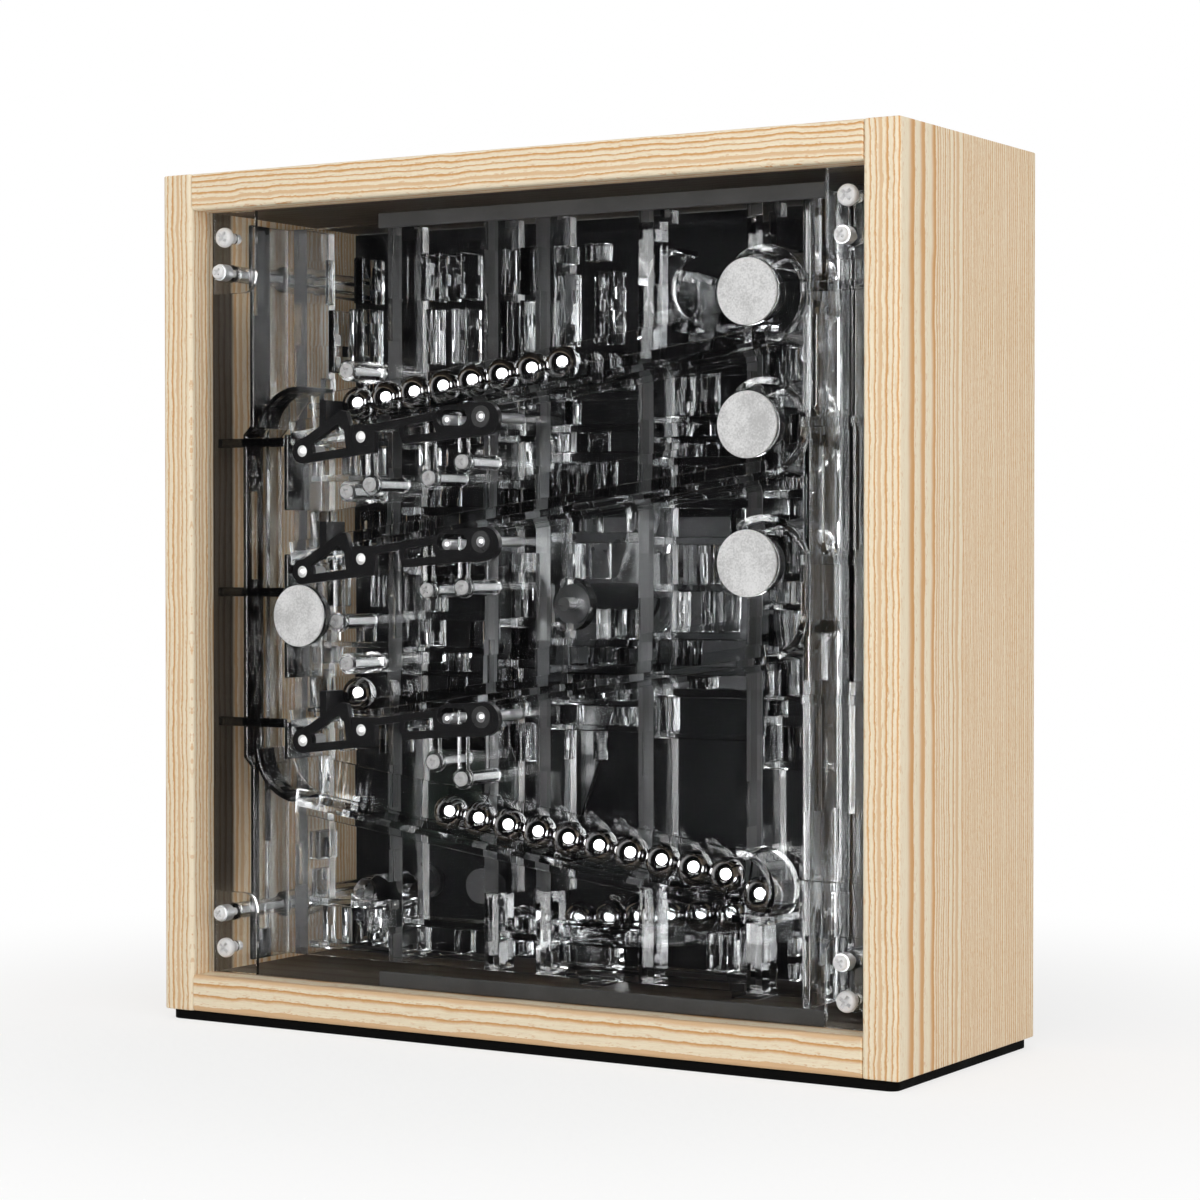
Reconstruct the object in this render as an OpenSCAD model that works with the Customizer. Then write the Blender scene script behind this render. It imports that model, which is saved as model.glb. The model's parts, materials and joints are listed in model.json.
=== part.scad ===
// Rolling ball clock in a wooden case with a clear front.
// Steel balls gather on three sloping rails that show the time, tip off them by dark rockers,
// fall down a channel on the left, queue on the lowest rail and are carried up again by an arm.
// X runs to the right, Y to the back and Z up. The origin is under the middle of the case,
// in the plane on which its rubber pad lies. Millimetres.

/* [Case] */
// Width of the wooden case
case_w = 250; // [240:1:280]
// Height of the wooden case, without its pad; over 275 the arm needs a wider case too
case_h = 255.5; // [250:0.5:280]
// Depth of the wooden case
case_d = 89.5; // [88:0.5:110]
// Thickness of the boards
board_t = 11; // [8:0.5:12]
// Rounding of the boards' outer edges
board_edge = 1.2; // [0.5:0.1:3]
// Thickness of the rubber pad under the case
pad_h = 3; // [2:0.5:6]
// Distance of the pad's edge from the case's outside
pad_inset = 1.5; // [1.2:0.1:15]
// Corner radius of the pad
pad_corner = 3; // [1:0.5:10]

/* [Front panel] */
// Distance from the boards' front edge back to the panel
panel_set = 7.3; // [6:0.1:9]
// Thickness of the clear panel
panel_t = 3; // [2:0.1:3.2]
// Clearance of the panels in the case
panel_gap = 0.3; // [0.1:0.1:1]
// Corner screws' distance from the opening's sides
corner_in_x = 7.7; // [6:0.1:9]
// Corner screws' distance from the opening's top and bottom
corner_in_z = 8.2; // [6:0.1:9]
// Standoff screws' distance from the opening's sides
standoff_in_x = 8; // [7:0.1:8.6]
// Standoff screws' distance from the opening's top and bottom
standoff_in_z = 19; // [17:0.1:20]
// Diameter of a standoff
standoff_d = 5; // [4:0.1:6]
// Length of the steel collar in front of the panel
collar_l = 3.5; // [2:0.1:4]
// Width of a corner bracket
bracket_w = 16.5; // [15:0.5:18]
// Height of a corner bracket
bracket_h = 25; // [24:0.5:26]
// Thickness of a corner bracket
bracket_t = 1.4; // [1:0.1:1.5]
// Height of the grey strips behind the panel's top and bottom
strip_h = 4.4; // [2:0.1:5]
// Distance of the upper grey strip from the ceiling
strip_drop = 3.6; // [1:0.1:5]
// Left end of the grey strips, left of the case's middle
strip_left = 51.5; // [40:0.5:90]

/* [Screws] */
// Head diameter of the corner screws
big_head_d = 6; // [5:0.1:6.5]
// Thread diameter of the corner screws
big_shank_d = 3; // [2.5:0.1:3.4]
// Head diameter of the small screws
small_head_d = 4.2; // [3.8:0.1:4.6]
// Thread diameter of the small screws
small_shank_d = 2; // [1.6:0.1:2.2]
// Radial clearance of a screw in its hole
screw_gap = 0.1; // [0.05:0.05:0.3]

/* [White discs] */
// Diameter of a white disc
disc_d = 18.5; // [14:0.5:20]
// Thickness of a white disc
disc_t = 0.8; // [0.5:0.1:1.5]
// Length of the clear stud's flange in front of the panel
stud_flange = 2; // [1:0.1:3]
// Diameter of the stud's neck in the panel
stud_neck_d = 15.9; // [10:0.1:16.5]
// How far the right studs reach behind the panel
stud_reach = 2.3; // [1:0.1:2.6]
// Right discs' distance from the opening's right side
disc_in = 37.6; // [36:0.1:40]
// Left disc's distance from the opening's left side
left_disc_in = 37.1; // [34:0.1:44]
// Left disc's height, as a share of the opening's height
left_disc_share = 0.472; // [0.45:0.001:0.485]

/* [Balls and rails] */
// Diameter of a steel ball
ball_d = 10.3; // [9.5:0.1:10.4]
// Gap between two balls in a row
ball_gap = 0.25; // [0.1:0.05:0.4]
// Distance from the boards' front edge to the front balls' centres
ball_y = 21.5; // [21:0.1:22]
// Distance from the rear balls' centres to the boards' rear edge
rear_lane = 38.5; // [38:0.1:39]
// Running gap between a ball and its rail
rail_gap = 0.35; // [0.2:0.05:0.5]
// Thickness of a rail's floor
floor_t = 2; // [1.5:0.1:2.2]
// Thickness of a rail's walls
wall_t = 1.7; // [1.2:0.1:1.8]
// Height of a rail's front lip over its floor
lip_h = 3.2; // [1:0.1:4]
// How far the rear wall stands over the balls
wall_over = 1.2; // [0.5:0.1:2]
// Slope of the three time rails
rail_slope = 7.8; // [7.2:0.1:8.2]
// Slope of the reservoir rail
reservoir_slope = 8.2; // [7.8:0.1:8.4]
// Slope of the rear return rail
return_slope = 5.4; // [4.5:0.1:5.8]
// Balls on the minute rail
minute_count = 8; // [1:1:8]
// Balls queueing on the reservoir rail
reservoir_count = 10; // [1:1:10]
// Balls queueing on the rear return rail
return_count = 6; // [1:1:6]
// Inner radius of the round hood at a rail's right end
hood_r = 11.6; // [10.6:0.1:11.8]
// Wall thickness of a hood
hood_t = 2; // [1.2:0.1:2.2]

/* [Rockers] */
// Rocker pivots' distance from the opening's left side
pivot_in = 98.1; // [97:0.1:99]
// Height of the minute rocker's pivot, as a share of the opening's height
minute_share = 0.72334; // [0.72:0.0001:0.732]
// Height of the tens rocker's pivot, as a share of the opening's height
tens_share = 0.56702; // [0.561:0.0001:0.569]
// Height of the hour rocker's pivot, as a share of the opening's height
hour_share = 0.34775; // [0.343:0.0001:0.351]
// Thickness of a rocker plate
rocker_t = 2; // [1.2:0.1:2.2]
// Diameter of the pivot and stop pins
pin_d = 3; // [2:0.1:3.2]
// Outer diameter of the bush in a rocker
bush_d = 6.4; // [5:0.1:6.8]
// Radial clearance of a pin in its bush
pin_gap = 0.05; // [0.02:0.01:0.08]
// Diameter of the weight pins in a rocker
weight_d = 3.4; // [2.5:0.1:3.8]

/* [Frame] */
// Thickness of the frame's plate
frame_t = 3; // [2:0.1:3.5]
// Length of a standoff behind the panel, as a share of the case's depth
standoff_share = 0.24246; // [0.241:0.0001:0.247]
// Gap between the frame and the case's floor and ceiling
frame_gap = 4; // [3:0.1:5]
// Thickness of a frame rib
rib_t = 5; // [3:0.1:5.2]
// Depth of a frame rib behind the plate
rib_d = 14.5; // [10:0.1:14.6]
// Diameter of the posts behind the frame
post_d = 8; // [6:0.1:9]
// Thickness of the back panel
back_t = 2.5; // [2:0.1:3]
// Distance from the back panel to the boards' rear edge
back_set = 1.5; // [0.5:0.1:2]

/* [Lift] */
// Space over the carried ball's centre at the top of its way, and under it, on average
lift_room = 21.75; // [21.2:0.05:22.7]
// How far the lift's axle sits below the opening's middle
lift_drop = 2.75; // [2.3:0.05:3.2]
// Lean of the arm from upright, in degrees
lift_lean = 18; // [14:1:22]
// Diameter of the lift's axle
axle_d = 4; // [3:0.1:5]
// Outer diameter of the arm's brass hub
hub_d = 12; // [9:0.1:14]
// Gear module
gear_module = 0.8; // [0.6:0.05:0.8]
// Teeth of the gear on the arm
gear_teeth = 48; // [48:12:60]
// Teeth of the pinion on the motor
pinion_teeth = 12; // [12:12:12]
// Diameter of the motor
motor_d = 32; // [24:1:36]

/* [Hidden] */
$fn = 48;

// Case: inner faces, seen from the front edge and the underside
in_x = case_w / 2 - board_t;
in_bottom = board_t;
in_top = case_h - board_t;
panel_back = panel_set + panel_t;
bracket_back = panel_back + bracket_t;
back_y2 = case_d - back_set;
back_y1 = back_y2 - back_t;
corner_x = in_x - corner_in_x;
corner_zs = [in_bottom + corner_in_z, in_top - corner_in_z];
standoff_x = in_x - standoff_in_x;
standoff_zs = [in_bottom + standoff_in_z, in_top - standoff_in_z];
opening_h = in_top - in_bottom;
pivot_x = in_x - pivot_in;
minute_pivot_z = in_bottom + minute_share * opening_h;
tens_pivot_z = in_bottom + tens_share * opening_h;
hour_pivot_z = in_bottom + hour_share * opening_h;
disc_x = in_x - disc_in;
left_disc_x = in_x - left_disc_in;
left_disc_z = in_bottom + left_disc_share * opening_h;
rear_ball_y = case_d - rear_lane;
lift_r = opening_h / 2 - lift_room;
lift_z = in_bottom + opening_h / 2 - lift_drop;
standoff_l = standoff_share * case_d;
big_head_h = 2.2;
small_head_h = 1.6;

// Layers from the front to the back
frame_y1 = panel_back + standoff_l;
frame_y2 = frame_y1 + frame_t;
rib_y2 = frame_y2 + rib_d;
frame_bottom = in_bottom + frame_gap;
frame_top = in_top - frame_gap;
ball_r = ball_d / 2;
floor_top = ball_r + rail_gap;
rail_y1 = ball_y - ball_r - rail_gap - wall_t;
rail_y2 = ball_y + ball_r + rail_gap + wall_t;
rear_y1 = rear_ball_y - ball_r - rail_gap;
rear_y2 = rear_ball_y + ball_r + rail_gap;
plate_gap = 0.4;
rocker_y2 = rail_y1 - plate_gap;
rocker_y1 = rocker_y2 - rocker_t;
pin_y1 = rocker_y1 - 1;
seat_gap = 0.1;
rear_wall_y2 = rear_y2 + wall_t;
arm_y1 = rear_wall_y2 + 0.5;
arm_ball_y = arm_y1 + rail_gap + ball_r;
arm_web_y1 = arm_ball_y + ball_r + rail_gap;
arm_web_t = 2.5;
arm_y2 = arm_web_y1 + arm_web_t;
gear_y1 = arm_y2 + 0.6;
gear_t = 2.6;
gear_y2 = gear_y1 + gear_t;
motor_plate_y1 = gear_y2 + 0.6;
motor_plate_t = 2;
motor_plate_y2 = motor_plate_y1 + motor_plate_t;
motor_y2 = back_y1 - 0.3;

// Time rails: the first ball lies here, seen from the rocker's pivot
first_dx = -50.6;
first_dz = 5.25;
pivot_zs = [minute_pivot_z, tens_pivot_z, hour_pivot_z];
hood_step = 0.3;
disc_rises = [0.6, 0.7, 13.9];
rail_left_dx = -72.2;
finger_gap = [-60, -53.8];
finger_x = [first_dx - ball_r - 2.7, first_dx - ball_r - 0.3];
finger_top = 6.2;
lug_d = 6.4;
lug_w = 3.2;

// Reservoir rail and the seat at its end, between the frame's fourth and fifth ribs
rib_xs = [16 - in_x, 52 - in_x, 87.2 - in_x, 105.7 - in_x, in_x - 86.9, in_x - 51, in_x - 33.1];
slot_x = (rib_xs[5] + rib_xs[6]) / 2;
slot_w = rib_xs[6] - rib_xs[5] - rib_t - 0.6;
reservoir_x1 = 29.5 - in_x;
reservoir_end = in_x - 49;
reservoir_last_x = in_x - 53;
seat_z = 44.7;
reservoir_mid_z = seat_z + 4.81 + tan(reservoir_slope) * reservoir_last_x;
end_hood = [in_x - 45.1, seat_z + 1.5];
end_hood_r = 9.3;
over_reservoir = reservoir_mid_z - hour_pivot_z;
rail_screw_dxz = [[[-49.8, 15], [-41.3, -19.3], [-19.8, -17.6], [-8, -13]],
  [[-49.8, 15.2], [-53.5, -24], [-20.5, -14.3], [-8, -13.4]],
  [[-49.8, 14.6], [-18.3, over_reservoir + 20.1], [-8.3, over_reservoir + 15.4]]];
return_mid_z = lift_z - lift_r + 0.6;
return_first_x = -5.1;
return_left = return_first_x - ball_r - 0.3;
return_right = slot_x + slot_w / 2;
chute_from = [30, in_top - 30.5];
chute_to = [slot_x, in_top - 36.6];
column_in = in_x - 25.3;
column_t = 2.4;
channel_in = in_x - 12.7;
channel_bulge = 2.7;
channel_t = 1.5;
channel_inner = in_x - 24.3;
channel_jog = [hour_pivot_z - 17.2, minute_pivot_z - 1.4];
strap_zs = [minute_pivot_z - 6.1, tens_pivot_z - 15.3, hour_pivot_z - 4];
foot_at = [44 - in_x, in_bottom + 21];
strap_h = 2.8;
strap_t = 1.6;
gear_distance = gear_module * (gear_teeth + pinion_teeth) / 2;

clear = [0.8, 0.85, 0.88, 0.45];
steel = [0.8, 0.8, 0.82];
wood = [0.92, 0.84, 0.7];
dark = [0.16, 0.16, 0.17];

function line_z(k, x) =
  pivot_zs[k] + first_dz + tan(rail_slope) * (x + pivot_x - first_dx);
function hood_low_z(k) = line_z(k, disc_x) + hood_r - floor_top + hood_step;
function disc_z(k) = hood_low_z(k) + disc_rises[k];
function reservoir_z(x) = reservoir_mid_z - tan(reservoir_slope) * x;
function return_z(x) = return_mid_z + tan(return_slope) * x;

// Moves a piece from the front edge and the underside to the clock's own origin
module placed() translate([0, -case_d / 2, pad_h]) children();

// A flat outline in X and Z, from depth y1 to depth y2
module slab(y1, y2) translate([0, y2, 0]) rotate([90, 0, 0]) linear_extrude(y2 - y1) children();

// A round rod along Y
module rod(x, z, d, y1, y2) translate([x, y2, z]) rotate([90, 0, 0]) cylinder(d = d, h = y2 - y1);

// A strip along the line from p to q, between two offsets square to it
module strip(p, q, lo, hi)
  translate(p) rotate(atan2(q[1] - p[1], q[0] - p[0]))
    translate([0, lo]) square([norm(q - p), hi - lo]);

// A ring sector between two radii and two angles, each under 180 degrees wide
module sector(c, r1, r2, a1, a2)
  translate(c) intersection() {
    difference() {
      circle(r = r2);
      circle(r = r1);
    }
    polygon([[0, 0], 3 * r2 * [cos(a1), sin(a1)],
      4 * r2 * [cos((a1 + a2) / 2), sin((a1 + a2) / 2)], 3 * r2 * [cos(a2), sin(a2)]]);
  }

// A strip with round ends
module stadium(p, q, r)
  translate(p) rotate(atan2(q[1] - p[1], q[0] - p[0])) {
    length = norm(q - p);
    translate([0, -r]) square([length, 2 * r]);
    circle(r = r);
    translate([length, 0]) circle(r = r);
  }

module rounded_rect(w, h, r) {
  translate([r, 0]) square([w - 2 * r, h]);
  translate([0, r]) square([w, h - 2 * r]);
  for (x = [r, w - r], y = [r, h - r]) translate([x, y]) circle(r = r);
}

module side_board(side)
  placed() color(wood) translate([side * (in_x + board_t / 2) - board_t / 2, 0, 0])
    linear_extrude(case_h) rounded_rect(board_t, case_d, board_edge);

module flat_board(z)
  placed() color(wood) translate([-in_x, 0, z]) rotate([90, 0, 90])
    linear_extrude(2 * in_x) rounded_rect(case_d, board_t, board_edge);

module side_board_left() side_board(-1);
module side_board_right() side_board(1);
module top_board() flat_board(in_top);
module bottom_board() flat_board(0);

module base_pad()
  color("black") translate([pad_inset - case_w / 2, pad_inset - case_d / 2, 0])
    linear_extrude(pad_h) rounded_rect(case_w - 2 * pad_inset, case_d - 2 * pad_inset, pad_corner);

module sheet(y1, y2)
  slab(y1, y2) translate([panel_gap - in_x, in_bottom + panel_gap])
    square([2 * (in_x - panel_gap), in_top - in_bottom - 2 * panel_gap]);

module each_corner(x, zs) for (s = [-1, 1], z = zs) translate([s * x, 0, z]) children();

// Places of the white discs' studs, each with how far it reaches behind the panel
stud_places = [for (k = [0:2]) [disc_x, disc_z(k), stud_reach],
  [-left_disc_x, left_disc_z, 0.3]];

module front_panel()
  placed() color(clear) difference() {
    sheet(panel_set, panel_back);
    each_corner(corner_x, corner_zs)
      rod(0, 0, big_shank_d + 2 * screw_gap, panel_set - 1, panel_back + 1);
    each_corner(standoff_x, standoff_zs)
      rod(0, 0, small_shank_d + 2 * screw_gap, panel_set - 1, panel_back + 1);
    for (s = stud_places) rod(s[0], s[1], stud_neck_d + 2 * screw_gap, panel_set - 1, panel_back + 1);
  }

// A clear plate behind each corner of the panel, with the inner corner rounded
module corner_brackets() {
  inner_r = 5;
  placed() color(clear) for (s = [-1, 1], top = [0, 1])
    difference() {
      slab(panel_back + seat_gap, bracket_back + seat_gap)
        translate([s * in_x, top ? in_top : in_bottom]) mirror([s > 0 ? 1 : 0, 0])
          mirror([0, top ? 1 : 0]) {
            square([bracket_w - inner_r, bracket_h]);
            square([bracket_w, bracket_h - inner_r]);
            translate([bracket_w - inner_r, bracket_h - inner_r]) circle(r = inner_r);
          }
      rod(s * corner_x, corner_zs[top], big_shank_d + 2 * screw_gap, panel_set, bracket_back + 1);
      rod(s * standoff_x, standoff_zs[top], standoff_d + 2 * screw_gap, panel_set, bracket_back + 1);
    }
}

module cross_strips()
  placed() color("gray") for (z = [in_bottom + seat_gap, in_top - strip_drop - strip_h])
    translate([-strip_left, panel_back + seat_gap, z])
      cube([in_x - bracket_w - seat_gap + strip_left, bracket_t, strip_h]);

// A pan head with a cross recess, facing the front, with its shank behind it
module pan_screw(head_d, head_h, shank_d, shank_l) {
  recess_w = head_d * 0.13;
  difference() {
    union() {
      intersection() {
        rod(0, 0, head_d, -head_h, 0);
        translate([0, head_d * 0.9 - head_h, 0]) sphere(r = head_d * 0.9);
      }
      rod(0, 0, shank_d, 0, shank_l);
    }
    for (a = [45, 135]) rotate([0, a, 0])
      translate([-head_d * 0.3, -head_h - 1, -recess_w / 2]) cube([head_d * 0.6, 1.8, recess_w]);
  }
}

module corner_screws()
  placed() color(steel) each_corner(corner_x, corner_zs) translate([0, panel_set, 0])
    pan_screw(big_head_d, big_head_h, big_shank_d, panel_t + bracket_t + 2);

module standoff_screws()
  placed() color(steel) each_corner(standoff_x, standoff_zs) translate([0, panel_set - collar_l, 0])
    pan_screw(small_head_d, small_head_h, small_shank_d,
      collar_l + panel_t + standoff_l + frame_t + 6);

module tube(x, z, d, bore, y1, y2)
  difference() {
    rod(x, z, d, y1, y2);
    rod(x, z, bore, y1 - 1, y2 + 1);
  }

module screw_collars()
  placed() color(steel) each_corner(standoff_x, standoff_zs)
    tube(0, 0, standoff_d, small_shank_d + 2 * screw_gap, panel_set - collar_l, panel_set);

module standoffs()
  placed() color(clear) each_corner(standoff_x, standoff_zs)
    tube(0, 0, standoff_d, small_shank_d + 2 * screw_gap, panel_back, frame_y1);

// A clear stud through the panel, with a flange in front that carries a white disc
module disc_studs()
  placed() color(clear) for (s = stud_places) {
    rod(s[0], s[1], disc_d, panel_set - stud_flange, panel_set);
    rod(s[0], s[1], stud_neck_d, panel_set - 0.01, panel_back + s[2]);
  }

module white_discs()
  placed() color("white") for (s = stud_places)
    rod(s[0], s[1], disc_d, panel_set - stud_flange - disc_t, panel_set - stud_flange);

// The clear plate and its upright ribs, with ways through for the balls and the pins
module main_frame() {
  plate_x = in_x - 3;
  window_gap = 0.4;
  placed() color(clear) difference() {
    union() {
      slab(frame_y1, frame_y2) translate([-plate_x, frame_bottom])
        square([2 * plate_x, frame_top - frame_bottom]);
      for (x = rib_xs) slab(frame_y1, rib_y2) translate([x - rib_t / 2, frame_bottom])
        square([rib_t, frame_top - frame_bottom]);
      rod(0, lift_z, hub_d + 4, frame_y1, frame_y2 + 4);
      rod(foot_at[0], foot_at[1], 18, frame_y1, rib_y2 - 3);
    }
    each_corner(standoff_x, standoff_zs)
      rod(0, 0, small_shank_d + 2 * screw_gap, frame_y1 - 1, frame_y2 + 1);
    slab(frame_y1 - 1, frame_y2 + 0.01) translate([slot_x - slot_w / 2 - window_gap / 2, 0]) {
      translate([0, seat_z - floor_top - floor_t - window_gap]) square([slot_w + window_gap, 16]);
      translate([0, chute_to[1] - floor_top - floor_t - window_gap]) square([slot_w + window_gap, 17]);
    }
    slab(rear_y1 - window_gap - wall_t, rib_y2 + 1) {
      strip([-40, return_z(-40)], [110, return_z(110)], -30, ball_r + 4);
      translate([chute_from[0] - 12, chute_to[1] - ball_r - 6])
        square([chute_to[0] - chute_from[0] + 24, 40]);
    }
    rod(0, lift_z, axle_d, frame_y1 - 1, frame_y2 + 5);
    rod(0, lift_z, hub_d + 1, frame_y2 + 4, rib_y2 + 1);
    for (z = pivot_zs) {
      rod(-pivot_x, z, pin_d, frame_y1 - 1, frame_y2 + 1);
      rod(-pivot_x - stop_dx, z - stop_dz, pin_d, frame_y1 - 1, frame_y2 + 1);
    }
    for (s = rail_screw_places()) rod(s[0], s[1], small_shank_d, frame_y1 - 1, frame_y2 + 1);
    rod(foot_at[0], foot_at[1], small_shank_d + 2 * screw_gap, frame_y1 - 1, rib_y2 + 1);
  }
}

module rear_posts()
  placed() color(clear) each_corner(standoff_x, standoff_zs)
    tube(0, 0, post_d, small_shank_d, frame_y2, back_y1);

module back_screws()
  placed() color(steel) {
    each_corner(standoff_x, standoff_zs) translate([0, back_y2, 0]) mirror([0, 1, 0])
      pan_screw(small_head_d, 1.3, small_shank_d, 12);
    for (p = spacer_places) translate([p[0], back_y2, p[1]]) mirror([0, 1, 0])
      pan_screw(small_head_d, 1.3, small_shank_d, back_t + 5);
  }

// Electrics: places on the back panel
plate_margin = 6;
spacer_places = [for (x = [-22, 40], z = [-20, 20]) [x, lift_z + z]];
board_at = [42 - in_x, in_bottom + 51];
board_size = [44, 30];
board_t2 = 1.6;
board_y1 = back_y1 - 6;
board_spacer_places = [for (x = [-1, 1], z = [-1, 1])
  [board_at[0] + x * (board_size[0] / 2 - 4), board_at[1] + z * (board_size[1] / 2 - 4)]];
socket_at = [30 - in_x, in_bottom + 23];
socket_d = 11;
button_at = [54 - in_x, in_bottom + 23];
button_d = 7;
button_travel = 1.5;

module back_panel()
  placed() color(dark) difference() {
    sheet(back_y1, back_y2);
    each_corner(standoff_x, standoff_zs)
      rod(0, 0, small_shank_d + 2 * screw_gap, back_y1 - 1, back_y2 + 1);
    for (p = spacer_places)
      rod(p[0], p[1], small_shank_d + 2 * screw_gap, back_y1 - 1, back_y2 + 1);
    rod(socket_at[0], socket_at[1], socket_d - 3 + 2 * screw_gap, back_y1 - 1, back_y2 + 1);
    rod(button_at[0], button_at[1], button_d + 1, back_y1 - 1, back_y2 + 1);
  }

// A rail's floor, front lip and rear wall along a line of ball centres
module rail_floor(p, q, y1, y2)
  slab(y1, y2) strip(p, q, -floor_top - floor_t, -floor_top);
module rail_lip(p, q, y1, skirt)
  slab(y1, y1 + wall_t) strip(p, q, -floor_top - floor_t - skirt, -floor_top + lip_h);
module rail_back(p, q, y2, skirt)
  slab(y2 - wall_t, y2) strip(p, q, -floor_top - floor_t - skirt, ball_r + wall_over);

// One of the three time rails, with the round hood at its right end and its screw lugs
module time_rail(k) {
  skirt = 1.8;
  left = rail_left_dx - pivot_x;
  starts = finger_gap - [pivot_x, pivot_x];
  hood_x = disc_x;
  back_x = k == 0 ? slot_x - slot_w / 2 : hood_x - 1;
  placed() color(clear) difference() {
    union() {
      for (part = [[left, starts[0]], [starts[1], hood_x]]) {
        p = [part[0], line_z(k, part[0])];
        q = [part[1], line_z(k, part[1])];
        rail_floor(p, q, rail_y1, rail_y2);
        rail_lip(p, q, rail_y1, skirt);
      }
      rail_back([left, line_z(k, left)], [back_x, line_z(k, back_x)], rail_y2, skirt);
      slab(rail_y1, frame_y1 - seat_gap) hood_outline(hood_low_z(k), disc_z(k));
      for (s = screws_of(k)) lug(k, s);
    }
    for (s = screws_of(k))
      rod(s[0], s[1], small_shank_d + 2 * screw_gap, rail_y1 - 1, rail_y2 + 1);
  }
}

// The round hood: the right side of a ring drawn out upwards, and a little of its top
module hood_outline(low, high)
  intersection() {
    difference() {
      long_hole(low, high, hood_r + hood_t);
      long_hole(low, high, hood_r);
    }
    polygon([[disc_x, low - 40], [disc_x + 40, low - 40], [disc_x + 40, high + 40],
      [disc_x + 40 * cos(130), high + 40 * sin(130)], [disc_x, high]]);
  }

// An upright strip with round ends, at the discs' distance from the middle
module long_hole(low, high, r) {
  translate([disc_x, low]) circle(r = r);
  translate([disc_x, high]) circle(r = r);
  translate([disc_x - r, low]) square([2 * r, high - low]);
}

// A flat lug in the front lip's plane, from the rail to a screw
module lug(k, s) {
  up = s[1] > line_z(k, s[0]);
  root = [s[0], line_z(k, s[0]) - floor_top - floor_t / 2];
  if (up) {
    slab(rail_y2 - wall_t, rail_y2) strip(root, s, -lug_w / 2, lug_w / 2);
    rod(s[0], s[1], lug_d, rail_y1, rail_y2);
  } else slab(rail_y1, rail_y1 + wall_t) {
    translate(s) circle(d = lug_d);
    strip(s, root, -lug_w / 2, lug_w / 2);
  }
}

function screws_of(k) = [for (s = rail_screw_dxz[k]) [s[0] - pivot_x, pivot_zs[k] + s[1]]];
function rail_screw_places() = [for (k = [0:2]) each screws_of(k)];

module minute_rail() time_rail(0);
module tens_rail() time_rail(1);
module hour_rail() time_rail(2);

// Clear sleeves between the lugs and the frame, round the long screws
module rail_sleeves()
  placed() color(clear) for (k = [0:2], s = screws_of(k))
    tube(s[0], s[1], 4.6, small_shank_d + 2 * screw_gap,
      (s[1] > line_z(k, s[0]) ? rail_y2 : rail_y1 + wall_t) + seat_gap, frame_y1 - seat_gap);

module rail_screws()
  placed() color(steel) for (s = rail_screw_places()) translate([s[0], rail_y1, s[1]])
    pan_screw(small_head_d, small_head_h, small_shank_d, frame_y1 - rail_y1 + frame_t);

// The left channel: a full-height outer wall that steps out beside the rockers,
// the curved turns at its top and bottom, and the stretches of its inner wall
module return_channel() {
  x1 = -channel_in;
  x2 = -channel_in - channel_bulge;
  t = channel_t;
  z1 = channel_jog[0];
  z2 = channel_jog[1];
  jog = channel_bulge;
  turn_r = 15.5;
  top_turn = [x1 + 1 + turn_r, line_z(0, x1 + 1 + turn_r) + ball_r + 1.5];
  inner = -channel_inner;
  placed() color(clear) {
    slab(rail_y1, frame_y1 - seat_gap)
      polygon([[x1, frame_bottom], [x1, z1], [x2, z1 + jog], [x2, z2 - jog], [x1, z2],
        [x1, frame_top], [x1 - t, frame_top], [x1 - t, z2 + 0.4 * t], [x2 - t, z2 - jog + 0.4 * t],
        [x2 - t, z1 + jog - 0.4 * t], [x1 - t, z1 - 0.4 * t], [x1 - t, frame_bottom]]);
    slab(rail_y1, frame_y1 - seat_gap)
      sector([top_turn[0], top_turn[1] - turn_r + t], turn_r - t, turn_r, 84, 168);
    slab(rail_y1, frame_y1 - seat_gap)
      sector([reservoir_x1, reservoir_z(reservoir_x1) - ball_r + turn_r], turn_r, turn_r + t, 183,
        270 - reservoir_slope);
    for (k = [0:2]) {
      low = k < 2 ? line_z(k + 1, inner) + ball_r + 2.5 : line_z(2, inner) - ball_r - 12;
      slab(rail_y1, frame_y1 - seat_gap)
        translate([inner, low]) square([t, line_z(k, inner) - floor_top - 0.3 - low]);
    }
  }
}

// Straps across the front of the channel, from the case's side to the inner wall
module channel_straps()
  placed() color(clear) for (z = strap_zs)
    translate([-in_x, rail_y1 - seat_gap - strap_t, z - strap_h / 2])
      cube([in_x - channel_inner + channel_t, strap_t, strap_h]);

// The right column, from the frame's foot to its top
module feed_column()
  placed() color(clear) for (x = [column_in, column_in + ball_d + 1.2 + column_t])
    slab(rail_y1, frame_y1 - seat_gap) difference() {
      translate([x, frame_bottom]) square([column_t, frame_top - frame_bottom]);
      for (z = standoff_zs) translate([standoff_x, z]) circle(d = standoff_d + 0.6);
      for (k = [0:2])
        long_hole(hood_low_z(k), disc_z(k), hood_r + hood_t + seat_gap);
    }

module column_straps()
  placed() color(clear)
    for (z = [disc_z(0) + 1.2, disc_z(1) + 0.7, disc_z(2) + 1, hour_pivot_z + 8, seat_z + 4.4])
      translate([column_in, rail_y1 - seat_gap - strap_t, z - strap_h / 2])
        cube([in_x - column_in, strap_t, strap_h]);

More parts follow.
